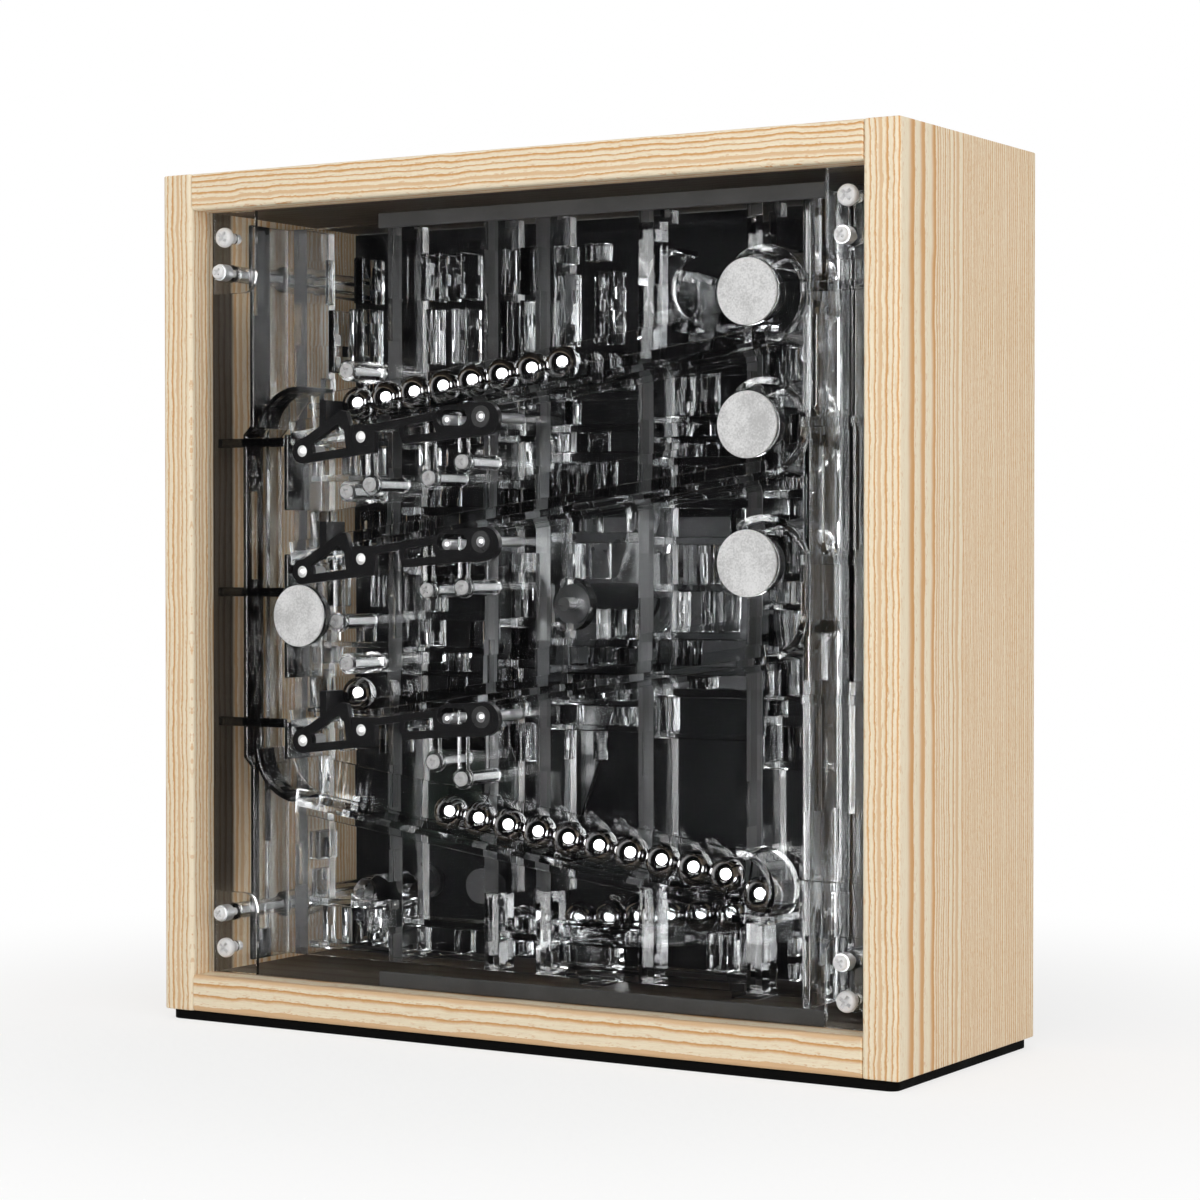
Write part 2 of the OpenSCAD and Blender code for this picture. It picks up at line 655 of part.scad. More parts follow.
// The lowest front rail, where the balls queue, and the level seat at its end
module reservoir_rail() {
  p = [reservoir_x1, reservoir_z(reservoir_x1)];
  q = [reservoir_end, reservoir_z(reservoir_end)];
  placed() color(clear) {
    rail_floor(p, q, rail_y1, rail_y2);
    rail_lip(p, q, rail_y1, 2);
    rail_back(p, q, rail_y2, 2);
    slab(rail_y1, rail_y2) sector(end_hood, end_hood_r, end_hood_r + hood_t, -60, 95);
    slab(rail_y1, rear_y1 - 4) translate([slot_x - slot_w / 2, seat_z - floor_top - floor_t])
      square([slot_w, floor_t]);
    slab(rail_y1, rail_y1 + wall_t)
      translate([reservoir_end - 2, seat_z - floor_top - floor_t])
        square([slot_x + slot_w / 2 - reservoir_end + 2, floor_t + lip_h]);
    slab(rail_y2 - wall_t, rail_y2)
      translate([reservoir_end - 3, seat_z - floor_top - floor_t])
        square([slot_x - slot_w / 2 - reservoir_end + 3.5, ball_d]);
    for (x = [-74, -38, 0, 38]) slab(rail_y2 - 0.01, frame_y1 - seat_gap)
      translate([x, reservoir_z(x) - floor_top - floor_t - 1]) square([6, ball_r]);
  }
}

// The rear rail, which leads the balls from the seat back to the left
module return_rail() {
  p = [return_left, return_z(return_left)];
  q = [return_right, return_z(return_right)];
  wall_x = return_first_x + ball_r + 2;
  placed() color(clear) {
    rail_floor(p, q, rear_y1 - wall_t, rear_wall_y2);
    rail_lip(p, q, rear_y1 - wall_t, 1);
    rail_back([wall_x, return_z(wall_x)], [return_right - 1, return_z(return_right - 1)],
      rear_wall_y2, 1.3);
    slab(rear_y1 - wall_t, rear_wall_y2) {
      translate([return_left - wall_t, return_z(return_left) - floor_top - floor_t])
        square([wall_t, floor_top + floor_t]);
      translate([return_left - wall_t, return_z(return_left) - floor_top - floor_t])
        square([wall_t + 2, floor_t - 0.2]);
    }
    for (x = [-2, 50]) translate([x, rear_y1 - wall_t, in_bottom])
      cube([8, rear_wall_y2 - rear_y1 + wall_t, return_z(x) - floor_top - floor_t / 2 - in_bottom]);
  }
}

// Two thin fins that hold a ball in the arm's way and pass through the slots of its cup
fin_t = 1.4;
fin_dy = 2.6;
module pickup_fins() {
  top = lift_z - lift_r - ball_r;
  placed() color(clear) {
    for (s = [-1, 1])
      slab(arm_ball_y + s * fin_dy - fin_t / 2, arm_ball_y + s * fin_dy + fin_t / 2)
        polygon([[-14, in_bottom], [1, in_bottom], [1, top + 0.5], [-5, top + 0.2], [-11, top + 0.8],
          [-14, top + 0.8]]);
    slab(arm_ball_y - 5, arm_ball_y + 5) translate([-16, in_bottom]) square([19, 2]);
  }
}

// The upper rail that leads a lifted ball right and forward to the minute rail
module feed_chute() {
  floor_z = chute_to[1] - floor_top - floor_t;
  fall = (chute_from[1] - chute_to[1]) / (chute_to[0] - chute_from[0]);
  wall_x = chute_from[0] + 16;
  placed() color(clear) {
    rail_floor(chute_from, chute_to, rear_y1 - wall_t, rear_wall_y2);
    rail_lip(chute_from, [slot_x - slot_w / 2, chute_to[1] + fall * slot_w / 2], rear_y1 - wall_t, 0);
    rail_back([wall_x, chute_from[1] - fall * 16], [chute_to[0] + 6, chute_to[1] - fall * 6],
      rear_wall_y2, 0);
    slab(rear_y1 - wall_t, rear_y2) sector([chute_from[0] + 4, chute_from[1] + 4], 9.6, 11.2, 100, 250);
    slab(rail_y2 + 0.3, rear_wall_y2) translate([slot_x - slot_w / 2, floor_z]) square([slot_w, floor_t]);
    for (x = [36, 54]) slab(frame_y2 + seat_gap, rear_y1)
      translate([x, chute_from[1] - fall * (x - chute_from[0]) - floor_top - floor_t - 1.6])
        square([5, 4]);
  }
}

// Pins that stand in the frame and reach forward through the rockers
stop_dx = 12.1;
stop_dz = 0.8;
stop_play = 0.9;
stop_z = stop_play - 0.15 - stop_dz;
module domed_pin(x, z, d, y1, y2) {
  rod(x, z, d, y1 + d * 0.3, y2);
  translate([x, y1 + d / 2, z]) sphere(d = d);
}

module pivot_pins()
  placed() color(steel) for (z = pivot_zs) domed_pin(-pivot_x, z, pin_d, pin_y1, frame_y2);

module stop_pins()
  placed() color(steel) for (z = pivot_zs)
    domed_pin(-pivot_x - stop_dx, z - stop_dz, pin_d, pin_y1, frame_y2);

// A rocker's plate, seen from its pivot: the capsule with its slot, the thin arm,
// the weight pins' tab and the open triangle with the tooth that holds back the balls
module rocker_outline() {
  difference() {
    union() {
      stadium([-12, -1.4], [1.3, -0.6], 4.9);
      stadium([-27, -6.3], [-10, -5], 1.2);
      strip([-38.5, -2.6], [-16, 0.6], -1.05, 1.05);
      sector([-25.2, -3.6], 2.2, 4, 80, 240);
      translate([-46.5, -9.9]) square([8.4, 8.6]);
      strip([-65, -11.4], [-40, -8.7], -1.3, 1.3);
      strip([-64.6, -6.9], [-50.3, 1.5], -1.5, 1.5);
      polygon([[-52.6, -0.4], [-50.6, 3], [-48.6, 2.6], [-46.9, -3], [-46.3, -9], [-48.6, -9], [-49.4, -3]]);
      translate([-65, -9]) circle(r = 3.7);
    }
    stadium([-13.2, stop_z], [-7.4, stop_z], pin_d / 2 + stop_play);
    circle(d = bush_d);
    for (p = weight_places) translate(p) circle(d = weight_d);
  }
}

weight_places = [[-65, -9], [-43.2, -5.1]];

module at_pivot(k) placed() translate([-pivot_x, 0, pivot_zs[k]]) children();

module rocker(k)
  at_pivot(k) color(dark) {
    slab(rocker_y1, rocker_y2) rocker_outline();
    slab(rocker_y1, ball_y) translate([finger_x[0], -2.6])
      square([finger_x[1] - finger_x[0], finger_top + 2.6]);
  }

module bush(k)
  at_pivot(k) color(steel) tube(0, 0, bush_d, pin_d + 2 * pin_gap, rocker_y1 - 0.2, rocker_y2 + 0.2);

module weights(k)
  at_pivot(k) color(steel) {
    domed_pin(weight_places[0][0], weight_places[0][1], weight_d, pin_y1, ball_y);
    domed_pin(weight_places[1][0], weight_places[1][1], weight_d, pin_y1, rocker_y2);
  }

module minute_rocker() rocker(0);
module minute_bush() bush(0);
module minute_weights() weights(0);
module tens_rocker() rocker(1);
module tens_bush() bush(1);
module tens_weights() weights(1);
module hour_rocker() rocker(2);
module hour_bush() bush(2);
module hour_weights() weights(2);

// The lift: an arm with a cup at each end, turned by a gear
module lift_axle()
  placed() color(steel) rod(0, lift_z, axle_d, frame_y1, motor_plate_y2);

module at_axle() placed() translate([0, 0, lift_z]) rotate([0, lift_lean, 0]) children();

module cup_outline() {
  cup_r = ball_r + rail_gap;
  cup_t = 1.5;
  translate([-cup_r - cup_t, lift_r + cup_r - 9]) square([cup_t, 9 + cup_t]);
  translate([-cup_r - cup_t, lift_r + cup_r]) square([2 * cup_r + cup_t - 1, cup_t]);
}

module lift_arm() {
  at_axle() color(clear) for (turn = [0, 180]) rotate([0, turn, 0]) difference() {
    union() {
      slab(arm_y1, arm_y2) cup_outline();
      slab(arm_web_y1, arm_y2) {
        translate([-ball_r - 1.8, lift_r - 8]) square([2 * ball_r + 1.3, 8 + ball_r + 1.8]);
        polygon([[-6, 0], [6, 0], [4, lift_r - 7.9], [-4, lift_r - 7.9]]);
        circle(d = hub_d + 6);
      }
    }
    for (s = [-1, 1]) slab(arm_ball_y + s * fin_dy - 1.2, arm_ball_y + s * fin_dy + 1.2)
      translate([-12, lift_r + ball_r - 1.2]) square([24, 12]);
    rod(0, 0, hub_d, arm_y1, arm_y2 + 1);
  }
}

module lift_hub() {
  at_axle() color("goldenrod") tube(0, 0, hub_d, axle_d + 2 * pin_gap, frame_y2 + 4.4, gear_y2);
}

// An outline of a gear with straight-sided teeth, one tooth on the X axis
module gear_outline(teeth) {
  pitch_r = gear_module * teeth / 2;
  root_r = pitch_r - 1.25 * gear_module;
  tip_r = pitch_r + 0.85 * gear_module;
  step = 360 / teeth;
  polygon([for (i = [0:teeth - 1], c = [[root_r, -0.3], [tip_r, -0.11], [tip_r, 0.11], [root_r, 0.3]])
    c[0] * [cos((i + c[1]) * step), sin((i + c[1]) * step)]]);
}

module lift_gear()
  placed() translate([0, 0, lift_z]) color("ivory") slab(gear_y1, gear_y2) difference() {
    gear_outline(gear_teeth);
    circle(d = hub_d);
  }

module motor_pinion()
  placed() translate([gear_distance, 0, lift_z]) color("ivory") difference() {
    slab(gear_y1 - 0.2, gear_y2 + 0.2) rotate(180 / pinion_teeth) gear_outline(pinion_teeth);
    rod(0, 0, 2, gear_y1 - 1, gear_y2 + 1);
  }

module motor_plate()
  placed() color("silver") difference() {
    slab(motor_plate_y1, motor_plate_y2)
      translate(spacer_places[0] - [plate_margin, plate_margin])
        square(spacer_places[3] - spacer_places[0] + 2 * [plate_margin, plate_margin]);
    rod(0, lift_z, axle_d, motor_plate_y1 - 1, motor_plate_y2 + 1);
    rod(gear_distance, lift_z, 7, motor_plate_y1 - 1, motor_plate_y2 + 1);
    for (p = spacer_places) rod(p[0], p[1], small_shank_d, motor_plate_y1 - 1, motor_plate_y2 + 1);
  }

module motor_spacers()
  placed() color("silver") for (p = spacer_places)
    tube(p[0], p[1], 5, small_shank_d, motor_plate_y2, back_y1);

module motor()
  placed() color("dimgray") translate([gear_distance, 0, lift_z]) {
    rod(0, 0, motor_d, motor_plate_y2, motor_y2);
    rod(0, 0, 6, motor_plate_y1 + 0.3, motor_plate_y2 + 1);
    rod(0, 0, 2 - 2 * pin_gap, gear_y1 - 0.2, motor_plate_y2);
  }

module circuit_board()
  placed() color("darkgreen") {
    difference() {
      slab(board_y1, board_y1 + board_t2) translate([board_at[0], board_at[1]])
        square(board_size, center = true);
      for (p = board_spacer_places) rod(p[0], p[1], 2.2, board_y1 - 1, board_y1 + 3);
    }
    slab(board_y1 - 2, board_y1 + 0.01) translate([board_at[0] - 4, board_at[1]])
      square([10, 8], center = true);
    slab(board_y1 - 3, board_y1 + 0.01) translate([board_at[0] + 11, board_at[1] + 4])
      square([6, 5], center = true);
    rod(board_at[0] + 10, board_at[1] - 7, 6, board_y1 - 6, board_y1 + 0.01);
  }

module board_spacers()
  placed() color("silver") for (p = board_spacer_places) {
    rod(p[0], p[1], 4.5, board_y1 + board_t2, back_y1);
    rod(p[0], p[1], 2.1, board_y1 - 1.2, board_y1 + board_t2 + 1);
  }

module power_socket()
  placed() color("black") translate([socket_at[0], 0, socket_at[1]]) {
    difference() {
      union() {
        rod(0, 0, socket_d - 3, back_y1 - 9, back_y2);
        rod(0, 0, socket_d, back_y2, back_y2 + 1.2);
        rod(0, 0, socket_d, back_y1 - 2.5, back_y1);
      }
      rod(0, 0, 5.6, back_y2 - 8, back_y2 + 2);
    }
    rod(0, 0, 2, back_y1 - 8, back_y2);
  }

module button_housing()
  placed() color("black") translate([button_at[0], 0, button_at[1]]) difference() {
    rod(0, 0, button_d + 4, back_y1 - 7, back_y1);
    rod(0, 0, button_d + 0.6, back_y1 - 5, back_y1 + 1);
  }

module set_button()
  placed() color("dimgray") translate([button_at[0], 0, button_at[1]])
    rod(0, 0, button_d, back_y1 - 5 + button_travel + 0.2, back_y2 + 1.2);

// The balls
module minute_balls() {
  step = (ball_d + ball_gap) * cos(rail_slope);
  placed() color(steel) for (i = [0:minute_count - 1]) {
    x = first_dx - pivot_x + i * step;
    translate([x, ball_y, line_z(0, x)]) sphere(d = ball_d);
  }
}

module hour_ball() {
  x = first_dx - pivot_x;
  placed() color(steel) translate([x, ball_y, line_z(2, x)]) sphere(d = ball_d);
}

module reservoir_balls() {
  step = (ball_d + ball_gap) * cos(reservoir_slope);
  placed() color(steel) for (i = [0:reservoir_count - 1]) {
    x = reservoir_last_x - i * step;
    translate([x, ball_y, reservoir_z(x)]) sphere(d = ball_d);
  }
}

module waiting_ball()
  placed() color(steel) translate([slot_x, ball_y, seat_z]) sphere(d = ball_d);

module return_balls() {
  step = (ball_d + ball_gap) * cos(return_slope);
  placed() color(steel) for (i = [0:return_count - 1]) {
    x = return_first_x + i * step;
    translate([x, rear_ball_y, return_z(x)]) sphere(d = ball_d);
  }
}

side_board_left();
side_board_right();
top_board();
bottom_board();
back_panel();
base_pad();
front_panel();
corner_brackets();
cross_strips();
corner_screws();
standoff_screws();
screw_collars();
standoffs();
disc_studs();
white_discs();
main_frame();
rear_posts();
back_screws();
minute_rail();
tens_rail();
hour_rail();
rail_sleeves();
rail_screws();
return_channel();
channel_straps();
feed_column();
column_straps();
reservoir_rail();
return_rail();
pickup_fins();
feed_chute();
pivot_pins();
stop_pins();
lift_axle();
motor_plate();
motor_spacers();
motor();
circuit_board();
board_spacers();
power_socket();
button_housing();
minute_rocker();
minute_bush();
minute_weights();
tens_rocker();
tens_bush();
tens_weights();
hour_rocker();
hour_bush();
hour_weights();
lift_arm();
lift_hub();
lift_gear();
motor_pinion();
minute_balls();
hour_ball();
reservoir_balls();
waiting_ball();
return_balls();
set_button();
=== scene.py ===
import json
import math
import random

import bmesh
import bpy
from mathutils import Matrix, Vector

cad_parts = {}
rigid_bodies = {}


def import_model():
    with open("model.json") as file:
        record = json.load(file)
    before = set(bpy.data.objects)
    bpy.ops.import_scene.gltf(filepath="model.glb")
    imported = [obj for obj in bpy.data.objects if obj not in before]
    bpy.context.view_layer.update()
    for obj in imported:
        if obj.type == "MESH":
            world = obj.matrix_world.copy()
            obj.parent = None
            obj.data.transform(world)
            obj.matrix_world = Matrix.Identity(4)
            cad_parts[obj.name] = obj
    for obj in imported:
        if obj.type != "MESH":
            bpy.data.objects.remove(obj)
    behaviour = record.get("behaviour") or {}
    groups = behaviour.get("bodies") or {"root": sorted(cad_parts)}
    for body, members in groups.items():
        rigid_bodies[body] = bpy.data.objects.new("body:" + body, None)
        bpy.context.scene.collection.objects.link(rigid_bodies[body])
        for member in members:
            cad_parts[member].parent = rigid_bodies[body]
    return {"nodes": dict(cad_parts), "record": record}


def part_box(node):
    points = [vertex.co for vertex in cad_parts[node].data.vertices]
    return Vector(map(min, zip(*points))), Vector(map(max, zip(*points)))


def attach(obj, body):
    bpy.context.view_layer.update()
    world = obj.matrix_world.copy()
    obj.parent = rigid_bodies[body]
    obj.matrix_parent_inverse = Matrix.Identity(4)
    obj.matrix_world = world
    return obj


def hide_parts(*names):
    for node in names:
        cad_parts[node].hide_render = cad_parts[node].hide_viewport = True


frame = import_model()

# A rolling ball clock in a pine case: its looks, around the fixed CAD frame.
# Everything is in metres; sizes written as N * MM are in millimetres.
MM = 0.001
scene = bpy.context.scene
record = frame["record"]
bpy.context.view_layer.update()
body_with = {node: body for body, members in record["behaviour"]["bodies"].items() for node in members}
slot_with = {part["node"]: part["material_slot"] for part in record["subparts"]}

CASE_LOW, CASE_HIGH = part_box("side_board_left")[0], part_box("side_board_right")[1]
CASE_FRONT = CASE_LOW.y


# ---------------------------------------------------------------- node trees

class Wire:
    """One output in a node tree; sums of wires and numbers become Math nodes."""

    def __init__(self, tree, socket=None):
        self.tree, self.socket = tree, socket

    def node(self, kind, settings={}, inputs={}, output=0):
        """Adds a node: its settings first, then values or wires for its inputs."""
        made = self.tree.nodes.new(kind)
        for key, value in settings.items():
            if key == "curve":
                curve = made.mapping.curves[0]
                curve.points[0].location, curve.points[1].location = value[0], value[-1]
                for place in value[1:-1]:
                    curve.points.new(*place)
                for point in curve.points:
                    point.handle_type = "VECTOR"
                made.mapping.update()
            else:
                setattr(made, key, value)
        for key, value in inputs.items():
            if isinstance(value, Wire):
                self.tree.links.new(value.socket, made.inputs[key])
            else:
                made.inputs[key].default_value = value
        return Wire(self.tree, made.outputs[output] if made.outputs else None)

    def math(self, operation, *terms):
        return self.node("ShaderNodeMath", {"operation": operation}, dict(enumerate(terms)))

    def __add__(self, other):
        return self.math("ADD", self, other)

    def __sub__(self, other):
        return self.math("SUBTRACT", self, other)

    def __mul__(self, other):
        return self.math("MULTIPLY", self, other)

    def __truediv__(self, other):
        return self.math("DIVIDE", self, other)

    def __rsub__(self, other):
        return self.math("SUBTRACT", other, self)

    __radd__, __rmul__ = __add__, __mul__

    def step(self, low, high, to_low=0.0, to_high=1.0):
        """A smooth rise from to_low to to_high as this wire goes from low to high."""
        return self.node("ShaderNodeMapRange", {"interpolation_type": "SMOOTHSTEP"},
                         {0: self, 1: low, 2: high, 3: to_low, 4: to_high})

    def blend(self, first, second):
        """A colour between two colours, by this wire."""
        return self.node("ShaderNodeMix", {"data_type": "RGBA"}, {0: self, 6: first, 7: second}, 2)

    def noise(self, place, scale, detail=2.0, rough=0.5):
        """A noise value round 0.5 at a place."""
        return self.node("ShaderNodeTexNoise", {},
                         {"Vector": place, "Scale": scale, "Detail": detail, "Roughness": rough})

    def vector(self, operation, *terms):
        return self.node("ShaderNodeVectorMath", {"operation": operation}, dict(enumerate(terms)))

    def joined(self, *parts):
        """A vector from up to three numbers or wires."""
        return self.node("ShaderNodeCombineXYZ", {}, dict(enumerate(parts)))

    def part(self, axis):
        """One of the three numbers of this vector."""
        return self.node("ShaderNodeSeparateXYZ", {}, {0: self}, axis)


def rgb(colour):
    return (*colour, 1.0)


def new_material(name):
    """A material with nothing in its tree but an output, and a wire to start from."""
    material = bpy.data.materials.new(name)
    material.use_nodes = True
    material.node_tree.nodes.clear()
    return material, Wire(material.node_tree)


def surface(start, shader):
    start.node("ShaderNodeOutputMaterial", {}, {"Surface": shader})


def places(start):
    """Where a point is on the object, in metres, as a vector and as three numbers."""
    spot = start.node("ShaderNodeTexCoord", output="Object")
    return spot, [spot.part(axis) for axis in range(3)]


def facing_way(start):
    """The way the surface faces, as a vector."""
    return start.node("ShaderNodeNewGeometry", output="Normal")


def seen_by(start, *kinds):
    """1 for a ray of one of the named kinds, otherwise 0."""
    hit = 0.0
    for kind in kinds:
        path = start.node("ShaderNodeLightPath", output=f"Is {kind} Ray")
        hit = path.math("MAXIMUM", path, hit)
    return hit


def bumped(start, height, distance, strength=1.0):
    return start.node("ShaderNodeBump", {}, {"Height": height, "Distance": distance, "Strength": strength})


# ---------------------------------------------------------------- finishes

ACRYLIC_IOR = 1.49


def plain_finish(name, colour, rough, metallic, grain, mottle, pits, specular=0.5):
    """A moulded, painted or turned surface: fine grain in its colour, gloss and height.
    grain is the scale of its noise, mottle the spread of its colour and pits a depth in mm."""
    material, start = new_material(name)
    spot, _ = places(start)
    fine = start.noise(spot, grain, 3.0)
    broad = start.noise(spot, grain * 0.06, 2.0)
    shade = fine * 0.5 + broad * 0.5
    darker = rgb([c * (1 - mottle) for c in colour])
    lighter = rgb([min(1, c * (1 + mottle)) for c in colour])
    surface(start, start.node("ShaderNodeBsdfPrincipled", {}, {
        "Base Color": shade.step(0.35, 0.65).blend(darker, lighter), "Metallic": metallic,
        "Roughness": shade.step(0.3, 0.7, rough * 0.85, min(1, rough * 1.15)),
        "Specular IOR Level": specular, "Normal": bumped(start, fine, pits * MM)}))
    return material


# Dark and light tone of the early wood, colour of the late wood, and both darkened as painted shade on inner
# faces
PALE_WOOD = rgb((0.820, 0.700, 0.510)), rgb((0.900, 0.790, 0.600))
LATE_WOOD = rgb((0.640, 0.330, 0.110))
PAINTED_SHADE_WOOD = rgb((0.085, 0.070, 0.052)), rgb((0.050, 0.030, 0.016))


def pine_finish(name, along, across, side, origin, lean, rings, painted_shade=None):
    """Pale pine: growth rings with a soft rise and a sharp, wavy, speckled edge.
    along, across and side are axes, rings the number of rings passed at each depth in mm.
    The last argument gives two depths, between which the inner face is darkened as painted shade, and the
    sign of its normal."""
    material, start = new_material(name)
    spot, axes = places(start)
    run = axes[along] * 1000
    depth = (axes[across] - origin) * 1000 + axes[side] * (1000 * lean)
    wave = start.noise(start.joined(run * 0.03, depth * 0.05, 3.1 * lean + 1), 1.0, 2.0) - 0.5
    ripple = start.noise(start.joined(run * 0.16, depth * 0.12, 7.7), 1.0, 2.0) - 0.5
    ragged = start.noise(start.joined(run * 0.8, depth * 1.6, 2.2), 1.0, 3.0, 0.65) - 0.5
    bent = depth + wave * 2.4 + ripple * 0.9 + ragged * 0.55
    low, high = rings[0][0], rings[-1][0]
    count = rings[-1][1]
    curve = [((d - low) / (high - low), n / count) for d, n in rings]
    passed = start.node("ShaderNodeFloatCurve", {"curve": curve},
                        {"Factor": 1.0, "Value": (bent - low) / (high - low)}) * count
    phase = passed.math("FRACT", passed)
    ring = passed.math("FLOOR", passed)
    luck = start.node("ShaderNodeTexWhiteNoise", {"noise_dimensions": "1D"}, {"W": ring})
    rise = luck.step(0, 1, 0.15, 0.55)
    late = (phase - rise).step(0.0, 0.42) * (1 - phase.step(0.95, 1.0)) * luck.step(0.0, 0.7, 0.6, 1.0)
    dash = start.noise(start.joined(run * 0.55, depth * 2.6, 0.4), 1.0, 1.0).step(0.60, 0.66)
    dash = dash * phase.step(0.0, 0.5, 0.9, 0.2)
    fibre = start.noise(start.joined(run * 0.12, depth * 5.0, axes[side] * 4000), 1.0, 2.0)
    tinted = late.math("MAXIMUM", late, dash * 0.6)
    grain = tinted.blend(fibre.step(0.3, 0.7).blend(*PALE_WOOD), LATE_WOOD)
    # Painted shade: the inner face between the two depths is darkened to the shade colours
    if painted_shade is not None:
        first, last, sign = painted_shade
        inward = facing_way(start).part(2 - along) * sign
        shaded_band = axes[1].step(first, first + 0.2 * MM) * axes[1].step(last, last + 2 * MM, 1.0, 0.0)
        grain = (inward.step(0.8, 0.9) * shaded_band).blend(grain, tinted.blend(*PAINTED_SHADE_WOOD))
    surface(start, start.node("ShaderNodeBsdfPrincipled", {}, {
        "Base Color": grain, "Roughness": start.noise(spot, 25.0, 2.0).step(0.3, 0.7, 0.42, 0.55),
        "Normal": bumped(start, fibre * 0.35 - late * 0.6, 0.06 * MM), "Specular IOR Level": 0.35}))
    return material


def clear_finish(name, cells, tilt, tint=0.95, frosted_from=None, painted_black_to=None):
    """Cut and flame-polished acrylic: clear, with side faces slightly uneven in patches of the size
    cells in mm, which break up what is seen in them; faces further back than frosted_from are as sawn.
    Given painted_black_to, the edges, and most patches in front of that depth, are coloured black: painted
    dark reflection in place of the light that clear walls trap."""
    material, start = new_material(name)
    spot, axes = places(start)
    patch = start.vector("FLOOR", start.vector("MULTIPLY", spot, tuple(1000 / c for c in cells)))
    luck = start.node("ShaderNodeTexWhiteNoise", {"noise_dimensions": "3D"}, {"Vector": patch}, "Color")
    outward = facing_way(start)
    forward = outward.part(1).math("ABSOLUTE", outward.part(1))
    uneven = forward.step(0.5, 0.7, tilt * 2, 0.0)
    clear = rgb((tint, tint * 1.01, tint * 1.015))
    # Painted dark reflection: edges and most patches near the front are coloured black
    if painted_black_to is not None:
        near = axes[1].step(painted_black_to, painted_black_to + 0.5 * MM, 1.0, 0.0)
        uneven = uneven * near
        painted_black = luck.part(1).step(0.80, 0.81, 1.0, 0.0) * near
        painted_black = painted_black.math("MAXIMUM", painted_black, forward.step(0.8, 0.95))
        clear = painted_black.blend(clear, rgb((0.012, 0.012, 0.012)))
    lean = start.node("ShaderNodeVectorMath", {"operation": "SCALE"},
                      {0: start.vector("SUBTRACT", luck, (0.5, 0.5, 0.5)), "Scale": uneven})
    rough = start.noise(spot, 420.0, 4.0, 0.7).step(0.66, 0.80, 0.0, 0.05)
    if frosted_from is not None:
        sawn = axes[1].step(frosted_from, frosted_from + 0.1 * MM)
        saw_marks = start.noise(start.joined(axes[0] * 400, axes[2] * 3000), 1.0, 2.0)
        rough = rough + sawn * saw_marks.step(0.2, 0.8, 0.35, 0.60)
    surface(start, start.node("ShaderNodeBsdfPrincipled", {}, {
        "Base Color": clear, "Roughness": rough, "IOR": ACRYLIC_IOR, "Transmission Weight": 1.0,
        "Normal": start.vector("NORMALIZE", start.vector("ADD", outward, lean))}))
    return material


def panel_finish():
    """The slightly smoked front sheet, thin enough to let the light in."""
    material, start = new_material("smoked_panel")
    spot, _ = places(start)
    dust = start.noise(spot, 700.0, 3.0, 0.7).step(0.66, 0.8)
    surface(start, start.node("ShaderNodeBsdfPrincipled", {}, {
        "Base Color": dust.blend(rgb((0.012, 0.012, 0.013)), rgb((0.3, 0.3, 0.3))), "Roughness": 0.05,
        "Alpha": 0.11 + dust * 0.02, "IOR": ACRYLIC_IOR}))
    return material


def chrome_finish():
    material, start = new_material("ball_chrome")
    spot, _ = places(start)
    haze = start.noise(spot, 600.0, 3.0)
    surface(start, start.node("ShaderNodeBsdfPrincipled", {}, {
        "Base Color": haze.step(0.3, 0.7).blend(rgb((0.38, 0.38, 0.385)), rgb((0.44, 0.44, 0.44))),
        "Roughness": haze.step(0.4, 0.8, 0.015, 0.05), "Metallic": 1.0}))
    return material


def floor_finish():
    """Pale studio floor: a plain surface near the clock, plain white further away."""
    material, start = new_material("studio_floor")
    spot, (x, y, _) = places(start)
    squares = x * x + y * y
    away = squares.math("SQRT", squares)
    pale = start.noise(spot, 300.0, 2.0).blend(rgb((0.93, 0.925, 0.91)), rgb((0.96, 0.955, 0.94)))
    base = start.node("ShaderNodeBsdfDiffuse", {}, {"Color": pale})
    white = start.node("ShaderNodeEmission", {}, {"Color": rgb((1, 1, 1)), "Strength": 1.0})
    surface(start, start.node("ShaderNodeMixShader", {}, {
        0: away.step(0.13, 0.36, 0.70, 1.0) * seen_by(start, "Camera"), 1: base, 2: white}))
    return material


# Colour, roughness, metallic, grain, mottle, pit depth in mm and, where it isn't 0.5, specular level
PLAIN = {
    "bright_steel": ((0.50, 0.50, 0.51), 0.42, 1.0, 2600.0, 0.05, 0.004),
    "screw_steel": ((0.78, 0.78, 0.785), 0.50, 0.1, 2600.0, 0.05, 0.004),
    "washer_steel": ((0.62, 0.62, 0.62), 0.62, 0.6, 2600.0, 0.05, 0.004),
    "rocker_bush": ((0.10, 0.10, 0.10), 0.30, 1.0, 2600.0, 0.05, 0.004),
    "white_card": ((0.60, 0.60, 0.60), 0.7, 0.0, 2000.0, 0.22, 0.03),
    "rocker_black": ((0.014, 0.014, 0.015), 0.42, 0.0, 1800.0, 0.15, 0.01, 0.3),
    "dark_sheet": ((0.009, 0.009, 0.0095), 0.6, 0.0, 900.0, 0.2, 0.02, 0.08),
    "grey_plastic": ((0.09, 0.09, 0.09), 0.5, 0.0, 1600.0, 0.15, 0.01),
    "pad_rubber": ((0.004, 0.004, 0.004), 0.9, 0.0, 1400.0, 0.2, 0.03, 0.1),
    "black_nylon": ((0.035, 0.035, 0.035), 0.5, 0.0, 1200.0, 0.1, 0.01),
    "dark_metal": ((0.08, 0.08, 0.082), 0.4, 1.0, 2200.0, 0.1, 0.006),
    "board_green": ((0.006, 0.011, 0.008), 0.5, 0.0, 800.0, 0.2, 0.01, 0.2),
    "black_plastic": ((0.035, 0.035, 0.036), 0.45, 0.0, 1500.0, 0.15, 0.01),
}
PANEL_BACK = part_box("front_panel")[1].y
FRAME_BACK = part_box("main_frame")[1].y
CHANNEL_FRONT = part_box("return_channel")[0].y
BOARD_THICK = 11 * MM
# Behind everything, in metres, and how far the rings of the level boards lean as depth grows
FAR_BACK = 1.0
END_LEAN = 0.35
